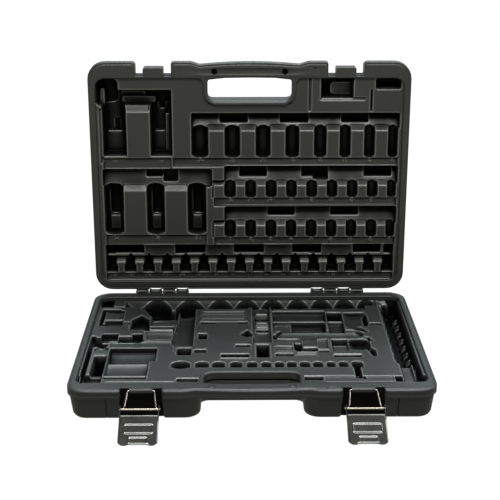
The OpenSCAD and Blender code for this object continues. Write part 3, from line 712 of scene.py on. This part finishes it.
def centre_bay(r):
    """The raised middle deck, the passage left of it and the narrow column right of it."""
    r.trough(-104, -79, 47, 190, 8, "v", 0.06, sag=5)
    r.box(-102, -79, 40, 72, DEEP)
    r.trough(-108, -79, 130, 186, 7, sag=5)
    r.rise(-99, -80, 188, 193, 7, 5, 0.8)
    for v0, v1, depth in ((62, 74, 7), (76, 82, 6), (84, 89, 6.5), (91, 101, 6)):
        r.box(-71, -5, v0, v1, depth, 1, 0.8)
    r.boxes((-71, -4, 105, 113, 13, 1), (-49, -17, 105, 108, 20, 1))
    r.rise(-49, -17, 109, 115, 5, 1, 0.3)
    r.boxes((-72, -60, 148, 168, 30), (-21, -1, 187, 195, 26), (-40, -3, 218, 228, 14),
            (-40, -3, 231, 236, 7))
    r.well(-5, 151, 9, 26)
    r.wedge([(-10, 144), (-5, 134), (0, 144)], 20)
    r.beads(0.7, (-70, 78, -77, 96), (-71, 102, -78, 145), (-5, 76, 1, 98), (-5, 102, 1, 128),
            (-71, 103, -50, 103), (-17, 103, -5, 103), (-74, 146, -60, 146), (-72, 146, -77, 165),
            (-72, 196, -72, 201), (-62, 196, -62, 201), (-22, 184, -5, 184), (-5, 182, 1, 200),
            (-41, 216, -5, 216), (-5, 214, 1, 232), (-71, 76, -6, 76), (-71, 83, -6, 83),
            (-71, 90, -6, 90))
    r.box(3, 28, 43, 180, 9, 3)
    r.boxes((5, 28, 70, 92, DEEP), (9, 21, 74, 77, 14), (7, 26, 108, 115, 18), (7, 26, 122, 133, DEEP),
            (7, 24, 187, 229, DEEP))
    r.trough(4, 27, 134, 178, 8, sag=3)
    for v in (69, 104, 117):
        r.rise(8, 24, v, v + 2, 6, 1, 0.5)
    r.beads(0.8, (5, 183, 25, 183), (5, 183, 5, 231), (26, 183, 26, 231), (8, 105, 22, 105))


def right_bay(r):
    """Long troughs and stepped pockets, with curved finger slots on their right."""
    r.ramp(30, 168, 42, 62, 9, PLATEAU + 1, 1)
    r.trough(32, 107, 66, 105, 8, "u", 0.04, sag=5)
    r.boxes((109, 131, 71, 138, 13), (109, 131, 98, 138, 9), (109, 131, 71, 96, 20))
    r.trough(133, 164, 72, 124, 5, "v", 0.08, sag=7)
    r.boxes((160, 166, 78, 118, 20), (31, 105, 107, 138, 9, 3), (57, 104, 107, 134, 14))
    r.trough(34, 156, 136, 167, 6, "u", 0.2, 12, sag=5)
    r.wedge([(131, 124), (142, 121), (155, 129), (165, 148), (158, 148), (145, 136), (133, 130)], 24)
    r.boxes((30, 67, 152, 162, 14), (30, 50, 152, 164, 24), (30, 70, 163, 180, 6),
            (70, 90, 165, 193, 7), (73, 79, 162, 170, 10), (90, 104, 168, 200, 7),
            (109, 131, 169, 180, DEEP),
            (109, 131, 179, 208, 10), (58, 69, 180, 206, DEEP), (68, 89, 198, 206, DEEP),
            (32, 56, 192, 208, 7), (32, 56, 216, 225, DEEP), (60, 86, 222, 226, 24),
            (109, 146, 221, 229, DEEP), (60, 104, 206, 214, 8))
    r.wedge([(152, 165), (160, 161), (167, 176), (165, 186), (160, 172)], 24)
    r.wedge([(155, 204), (161, 197), (166, 206), (166, 226), (161, 226)], 26)
    r.trough(132, 161, 168, 206, 2, "v", 0.1, 4)
    r.box(167, 184, 112, 119, 9, 1)
    r.beads(0.8, (36, 64, 104, 64), (36, 64, 31, 76), (104, 64, 108, 75), (110, 69, 166, 69),
            (33, 118, 37, 112, 52, 112, 57, 105, 102, 105, 107, 122),
            (133, 121, 141, 118, 154, 126, 163, 140), (33, 150, 66, 150, 70, 166), (50, 180, 58, 180),
            (58, 178, 69, 178), (70, 195, 88, 195, 90, 202, 104, 202), (105, 166, 131, 166),
            (34, 209, 56, 209), (60, 217, 86, 217), (109, 218, 146, 218),
            (153, 206, 160, 195, 166, 226), (152, 165, 158, 157), (167, 111, 184, 111),
            (37, 186, 31, 206), (37, 209, 31, 226), (82, 161, 88, 161), (95, 168, 103, 168),
            (74, 161, 77, 161))
    r.rise(110, 130, 98.5, 100, 6.5, 1, 0.5)


def front_row(r):
    """Small round pockets behind the hand hole, and the slots beside it."""
    for u, width in FRONT_ROW:
        centre = 246 + width / 4
        r.well(u, centre, width / 2, DEEP, 0.05)
        r.box(u - width / 2, u + width / 2, centre, 260, DEEP, 1, 0.05)
        for edge in (-1, 1):
            r.line(u + edge * width * 0.52, 258, u + edge * width * 0.5, 249, 0.8)
        r.line(u - width * 0.36, 245, u + width * 0.36, 245, 0.7)
    r.boxes((132, 140, 260, 292, 12), (132, 140, 258, 272, DEEP), (66, 90, 289, 300, DEEP),
            (93, 180, 287, 302, 5.5), (93, 180, 303, 304.5, 8), (140, 145, 288, 293, 20))
    r.beads(0.8, (66, 286.5, 130, 286.5), (140, 287.5, 180, 287.5))


def make_relief(painters, sigma):
    """The finished depth map of a tray."""
    relief = Relief(PLATEAU)
    for paint in painters:
        paint(relief)
    relief.finish(sigma)
    return relief


# Each tray node's area: u0, u1, v0, v1
BAYS = {
    "base": {"back_row": (-EDGE, 187, 10, 48), "right_channel": (187, EDGE, 10, 318),
             "left_bay": (-EDGE, -78, 48, 148), "centre_bay": (-78, 29, 48, 238),
             "right_bay": (29, 187, 48, 238), "front_left_bay": (-EDGE, -78, 148, 318),
             "front_row": (-78, 187, 238, 318)},
    "lid": {"ratchet_bay": (-EDGE, -112, 184, 318), "handle_deck": (-112, 86, 266, 318),
            "adapter_bay": (86, EDGE, 266, 318), "long_bay": (-EDGE, -55, 68, 184),
            "row_1": (-112, EDGE, 184, 266), "row_2": (-55, EDGE, 127, 184),
            "row_3": (-55, EDGE, 68, 127), "row_4": (-EDGE, EDGE, 10, 68)},
}


# ---------- latches ----------

def swung(side, across, out, down):
    """A point of an open latch: across, out from its plane and down from the lug's axis."""
    x, y, z = PLACE["base"](side * LATCH_U + across, LUG_V, LUG_D)
    c, s = math.cos(REST_ANGLE), math.sin(REST_ANGLE)
    return (x, y - (down * s + out * c) * MM, z - (down * c - out * s) * MM)


def tube(name, path, radius, body, slot):
    """A round wire along a path of points, with closed ends."""
    curve = bpy.data.curves.new(name, "CURVE")
    curve.dimensions = "3D"
    curve.bevel_depth = radius * MM
    curve.bevel_resolution = 3
    curve.use_fill_caps = True
    spline = curve.splines.new("POLY")
    spline.points.add(len(path) - 1)
    for point, co in zip(spline.points, path):
        point.co = (*co, 1)
    temp = place(name + "_path", curve)
    mesh = bpy.data.meshes.new_from_object(temp.evaluated_get(bpy.context.evaluated_depsgraph_get()))
    bpy.data.objects.remove(temp)
    mesh.name = name
    mesh.shade_smooth()
    mesh.materials.clear()
    return add(name, mesh, body, slot)


def smooth_path(points):
    """Points of a Catmull-Rom curve through the given ones."""
    pts = [np.array(p, float) for p in points]
    pts = [2 * pts[0] - pts[1]] + pts + [2 * pts[-1] - pts[-2]]
    out = []
    for a, b, c, d in zip(pts, pts[1:], pts[2:], pts[3:]):
        for t in np.arange(0, 1, 1 / 8):
            out.append(0.5 * (2 * b + (c - a) * t + (2 * a - 5 * b + 4 * c - d) * t * t
                              + (3 * b - a - 3 * c + d) * t ** 3))
    return out + [pts[-2]]


def make_bail(side, name):
    """Bent wire: two ends in the lug, two legs, and the bar that the lever turns on."""
    half = [(6.5, 0, 0), (14.6, 0, 0), (16.2, 0, 0.9), (16.9, 0, 3), (17.6, 0, 10), (18.6, 0, 19),
            (19.2, 0, 23.5), (20.3, 0, 26.2), (22, 0, BAIL), (LEVER_HALF + 0.9, 0, BAIL)]
    for m, hand in ((-1, "left"), (1, "right")):
        path = smooth_path([(m * across, out, down) for across, out, down in half])
        leg = tube(f"{name}_leg_{hand}", [swung(side, *p) for p in path], 1.1, name, "plated_wire")
        if hand == "left":
            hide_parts(name)
    bar = [swung(side, across, 0, BAIL) for across in (-23, -10, 0, 10, 23)]
    tube(f"{name}_bar", bar, 1.2, name, "plated_wire")


def make_lever(side, name):
    """Pressed plate: rolled hem, framed ribs, turned-down sides, raised lip and ears."""
    top, out, half_thick, cells = 12.3, 5.5, 0.5, 96
    u, w = np.meshgrid(np.linspace(-LEVER_HALF, LEVER_HALF, cells + 1),
                       np.linspace(top, LEVER, cells + 1))

    def frame_bead(half_width, w0, w1, r, height, width):
        edge = Relief.inside(u, w, -half_width, half_width, w0, w1, r)
        return height * np.exp(-(edge / width) ** 2)

    bulge = frame_bead(17, 25, 37, 2.5, 0.5, 0.75) + frame_bead(11, 43, 52, 2, 0.4, 0.7)
    bulge -= 1.1 * np.clip((np.abs(u) - 21.5) / 2.5, 0, 1) ** 2
    bulge += 1.8 * np.clip((w - 49.5) / 4.2, 0, 1) ** 2 / (1 + np.exp((np.abs(u) - 12.8) / 0.5))
    corner = np.minimum(Relief.inside(u, w, -LEVER_HALF, LEVER_HALF, top - 20, LEVER, 7), 0)
    u, w = u * (1 + corner / np.maximum(np.hypot(u, 1), 1)), w + corner * 0.7
    points = [swung(side, across, out + rise + face * half_thick, BAIL + down)
              for face in (1, -1) for across, down, rise in zip(u.ravel(), w.ravel(), bulge.ravel())]
    index = np.arange(u.size).reshape(u.shape)
    front, back = grid_faces(index), u.size
    border = [*index[0, :-1], *index[:-1, -1], *index[-1, :0:-1], *index[:0:-1, 0]]
    faces = [*front, *(back + front[:, ::-1])]
    faces += [(a, b, back + b, back + a) for a, b in zip(border, border[1:] + border[:1])]
    plate = piece(f"{name}_plate", points, faces, name, "plated_steel", 60)
    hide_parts(name)
    hem = [swung(side, across, out - 0.2, BAIL + top + 0.9)
           for across in np.linspace(1.5 - LEVER_HALF, LEVER_HALF - 1.5, 9)]
    tube(f"{name}_hem", hem, 1.5, name, "plated_steel")
    make_ear(side, -1, name, f"{name}_ear_left")
    make_ear(side, 1, name, f"{name}_ear_right")


def make_ear(side, m, body, name):
    """Folded side of a lever, round at its pivot."""
    profile = [(-EAR_R, 0), (-2.4, 2.4), (1.5, 6), (EAR_R, 12), (4.4, 19), (6.1, 19), (6.1, -1.5)]
    profile += [(EAR_R * math.cos(a), -EAR_R * math.sin(a))
                for a in np.linspace(0.4, math.pi - 0.2, 12)]
    points = [swung(side, m * across, out, BAIL + down)
              for across in (LEVER_HALF - EAR_THICK, LEVER_HALF) for out, down in profile]
    n = len(profile)
    faces = [tuple(range(n)), tuple(range(2 * n - 1, n - 1, -1))]
    faces += [(k, (k + 1) % n, n + (k + 1) % n, n + k) for k in range(n)]
    piece(name, points, faces, body, "plated_steel", 35)


# ---------- materials ----------

def node_tree(name):
    """A new material, its tree and its main shader."""
    material = bpy.data.materials.new(name)
    material.use_nodes = True
    tree = material.node_tree
    return material, tree, tree.nodes["Principled BSDF"]


def put(node, **values):
    """Sets inputs of a node; an underscore stands for a space in their names."""
    for name, value in values.items():
        node.inputs[name.replace("_", " ")].default_value = value
    return node


def noise(tree, scale, detail=3):
    """A noise in object space."""
    coords = tree.nodes.new("ShaderNodeTexCoord")
    made = put(tree.nodes.new("ShaderNodeTexNoise"), Scale=scale, Detail=detail, Roughness=0.55)
    tree.links.new(coords.outputs["Object"], made.inputs["Vector"])
    return made.outputs["Fac"]


def spread(tree, source, low, high):
    """Maps a noise to a range."""
    made = put(tree.nodes.new("ShaderNodeMapRange"), From_Min=0.3, From_Max=0.7, To_Min=low,
               To_Max=high)
    tree.links.new(source, made.inputs["Value"])
    return made.outputs["Result"]


def scaled(tree, source, factor, offset=0, clamp=False):
    """A value times a factor, plus an offset."""
    made = tree.nodes.new("ShaderNodeMath")
    made.operation = "MULTIPLY_ADD"
    made.use_clamp = clamp
    made.inputs[1].default_value, made.inputs[2].default_value = factor, offset
    tree.links.new(source, made.inputs[0])
    return made.outputs[0]


def ramp(tree, source, *stops):
    """Maps a value to colours, or to greys, through stops in rising order."""
    made = tree.nodes.new("ShaderNodeValToRGB")
    elements = made.color_ramp.elements
    elements[0].position, elements[1].position = stops[0][0], stops[-1][0]
    for k, (at, colour) in enumerate(stops):
        stop = elements[0] if k == 0 else elements[-1] if k == len(stops) - 1 else elements.new(at)
        stop.color = (*(colour if hasattr(colour, "__len__") else (colour,) * 3), 1)
    tree.links.new(source, made.inputs["Fac"])
    return made.outputs["Color"]


def bump(tree, shader, height, strength, distance):
    made = put(tree.nodes.new("ShaderNodeBump"), Strength=strength, Distance=distance)
    tree.links.new(height, made.inputs["Height"])
    tree.links.new(made.outputs["Normal"], shader.inputs["Normal"])


def plastic(name, dark, light):
    """Matt moulded plastic: fine grain, faint flow marks, and painted light that a point attribute
    gives from 1 down to -1: a painted highlight on edges, painted shade on walls, in hollows and
    sockets and at the back of the latch slots, in both colour and specular level."""
    material, tree, shader = node_tree(name)
    painted_light = tree.nodes.new("ShaderNodeAttribute")
    painted_light.attribute_name = "painted_light"
    # Painted light: the attribute lightens edges and darkens hollows, in colour and in specular level.
    lit = ramp(tree, scaled(tree, painted_light.outputs["Fac"], 0.5, 0.5),
               (0, 0.02), (0.25, 0.08), (0.5, 0.25), (0.55, 0.28), (1, 1))
    plain = ramp(tree, noise(tree, 14), (0.3, [4 * c for c in dark]), (0.7, [4 * c for c in light]))
    shade = put(tree.nodes.new("ShaderNodeMix"), Factor=1)
    shade.data_type, shade.blend_type = "RGBA", "MULTIPLY"
    tree.links.new(plain, shade.inputs["A"])
    tree.links.new(lit, shade.inputs["B"])
    tree.links.new(shade.outputs["Result"], shader.inputs["Base Color"])
    tree.links.new(scaled(tree, lit, 2, clamp=True), shader.inputs["Specular IOR Level"])
    tree.links.new(spread(tree, noise(tree, 220, 4), 0.36, 0.48), shader.inputs["Roughness"])
    bump(tree, put(shader, IOR=1.5), noise(tree, 1900, 2), 0.25, 0.00012)
    return material


def metal(name, dark, light):
    """Plated steel with fine scratches and a slightly uneven tint."""
    material, tree, shader = node_tree(name)
    scratches = noise(tree, 900)
    tree.links.new(ramp(tree, noise(tree, 60), (0.3, dark), (0.7, light)), shader.inputs["Base Color"])
    tree.links.new(spread(tree, scratches, 0.13, 0.23), shader.inputs["Roughness"])
    bump(tree, put(shader, Metallic=1), scratches, 0.08, 0.00005)
    return material


# ---------- the object ----------

def dress(node, slot, bevel=0):
    """Gives a CAD node its slot's material, and soft edges."""
    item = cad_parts[node]
    item.data.materials.clear()
    item.data.materials.append(SKINS[slot])
    if bevel:
        soft = item.modifiers.new("edges", "BEVEL")
        soft.width = bevel * MM
        soft.segments = 3
        soft.limit_method = "ANGLE"
        soft.angle_limit = math.radians(40)


def make_object():
    SKINS.update(
        base_plastic=plastic("base_plastic", (0.013, 0.0145, 0.014), (0.017, 0.019, 0.018)),
        # The lid's plastic is a lighter, greener copy of the base's: painted light for how the light
        # falls on the upright lid.
        lid_plastic=plastic("lid_plastic", (0.018, 0.0195, 0.017), (0.0235, 0.025, 0.0218)),
        plated_wire=metal("wire_plating", (0.3, 0.27, 0.22), (0.44, 0.4, 0.33)),
        plated_steel=metal("lever_plating", (0.095, 0.094, 0.088), (0.14, 0.138, 0.128)))
    base_tray = (back_row, left_bay, front_left_bay, centre_bay, right_bay, front_row, right_channel)
    lid_tray = (ratchet_bay, adapter_bay, upper_rows, long_bay, lowest_row)
    reliefs = {"base": make_relief(base_tray, 0.5), "lid": make_relief(lid_tray, 0.55)}
    for half, relief in reliefs.items():
        make_rim(half)
        make_shell(half)
        for node, area in BAYS[half].items():
            make_bay(half, f"{half}_{node}", relief, area)
        for side in ("left", "right"):
            dress(f"{half}_{side}_knuckles", f"{half}_plastic", 0.4)
    dress("base_latch_lugs", "base_plastic", 0.5)
    dress("lid_latch_catches", "lid_plastic", 0.5)
    for side, sign in (("left", -1), ("right", 1)):
        dress(f"{side}_hinge_pin", "plated_steel")
        make_bail(sign, f"{side}_bail")
        make_lever(sign, f"{side}_lever")


# ---------- stage ----------

def make_light(name, spot, aim, size, power, colour):
    """A rectangular lamp, hidden from the camera."""
    data = bpy.data.lights.new(name, "AREA")
    data.shape = "RECTANGLE"
    data.size, data.size_y = size
    data.energy = power
    data.color = colour
    made = place(name, data)
    made.location = spot
    made.rotation_euler = (Vector(aim) - Vector(spot)).to_track_quat("-Z", "Y").to_euler()
    made.visible_camera = False


def make_world(scene):
    """A dim room with a bright band round the horizon, plain white to the camera."""
    world = bpy.data.worlds.new("studio")
    world.use_nodes = True
    tree = world.node_tree
    room = tree.nodes["Background"]
    clear = put(tree.nodes.new("ShaderNodeBackground"), Color=(1, 1, 1, 1))
    coords, split = tree.nodes.new("ShaderNodeTexCoord"), tree.nodes.new("ShaderNodeSeparateXYZ")
    tree.links.new(coords.outputs["Generated"], split.inputs[0])
    band = [(at, (grey, grey, 0.93 * grey)) for at, grey in
            ((0.36, 0.6), (0.42, 0.75), (0.49, 0.75), (0.94, 0.1), (1, 0.36))]
    colours = ramp(tree, scaled(tree, split.outputs["Z"], 0.5, 0.5),
                   (0.27, (0.34, 0.34, 0.28)), *band[:3], (0.56, 0.1), *band[3:])
    tree.links.new(colours, room.inputs["Color"])
    rays, mix = tree.nodes.new("ShaderNodeLightPath"), tree.nodes.new("ShaderNodeMixShader")
    tree.links.new(rays.outputs["Is Camera Ray"], mix.inputs["Fac"])
    tree.links.new(room.outputs["Background"], mix.inputs[1])
    tree.links.new(clear.outputs["Background"], mix.inputs[2])
    tree.links.new(mix.outputs["Shader"], tree.nodes["World Output"].inputs["Surface"])
    scene.world = world


def make_floor():
    """White paper under the case, left out of its reflections."""
    material, tree, shader = node_tree("floor_paper")
    tree.links.new(ramp(tree, noise(tree, 30), (0.3, 0.04), (0.7, 0.05)), shader.inputs["Base Color"])
    put(shader, Roughness=0.9, Emission_Color=(1, 1, 1, 1), Emission_Strength=1)
    mesh = bpy.data.meshes.new("floor")
    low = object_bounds()[0].z
    mesh.from_pydata([(x, y, low) for x, y in ((-6, -6), (6, -6), (6, 6), (-6, 6))], [], [(0, 1, 2, 3)])
    mesh.materials.append(material)
    floor = place("floor", mesh)
    floor.visible_diffuse = floor.visible_glossy = False


def make_stage():
    scene = bpy.context.scene
    scene.view_settings.view_transform = "Standard"
    scene.view_settings.look = "None"
    make_world(scene)
    make_floor()
    # name, place, aim, size, watts, colour
    make_light("key", (0.1, -0.75, 1.35), (0, 0.05, 0.1), (1.7, 0.4), 27, (1, 1, 0.97))
    make_light("sky", (0.1, 0.75, 1.75), (0, 0, 0.1), (1.8, 0.6), 42, (0.9, 0.97, 1))
    make_light("left", (-1.4, 0.4, 1.2), (0, 0, 0.1), (0.4, 1), 2, (0.96, 1, 1))
    make_light("right", (1.4, 0.3, 1.2), (0, 0, 0.1), (0.4, 1), 10, (0.96, 1, 1))
    make_light("backdrop", (0, 2.6, 1.1), (0, 0, 0.4), (3, 2.2), 12, (0.82, 0.92, 1))


def make_camera():
    """In front of the case and a little above it, looking slightly down."""
    data = bpy.data.cameras.new("camera")
    data.lens, data.sensor_width = 83.66, 36
    camera = place("camera", data)
    camera.location = (-0.0161, -1.4606, 0.6583)
    pitch, turn = math.radians(18.63), math.radians(0.58)
    camera.rotation_euler = (math.pi / 2 - pitch, 0, -turn)
    bpy.context.scene.camera = camera


make_object()
make_stage()
make_camera()
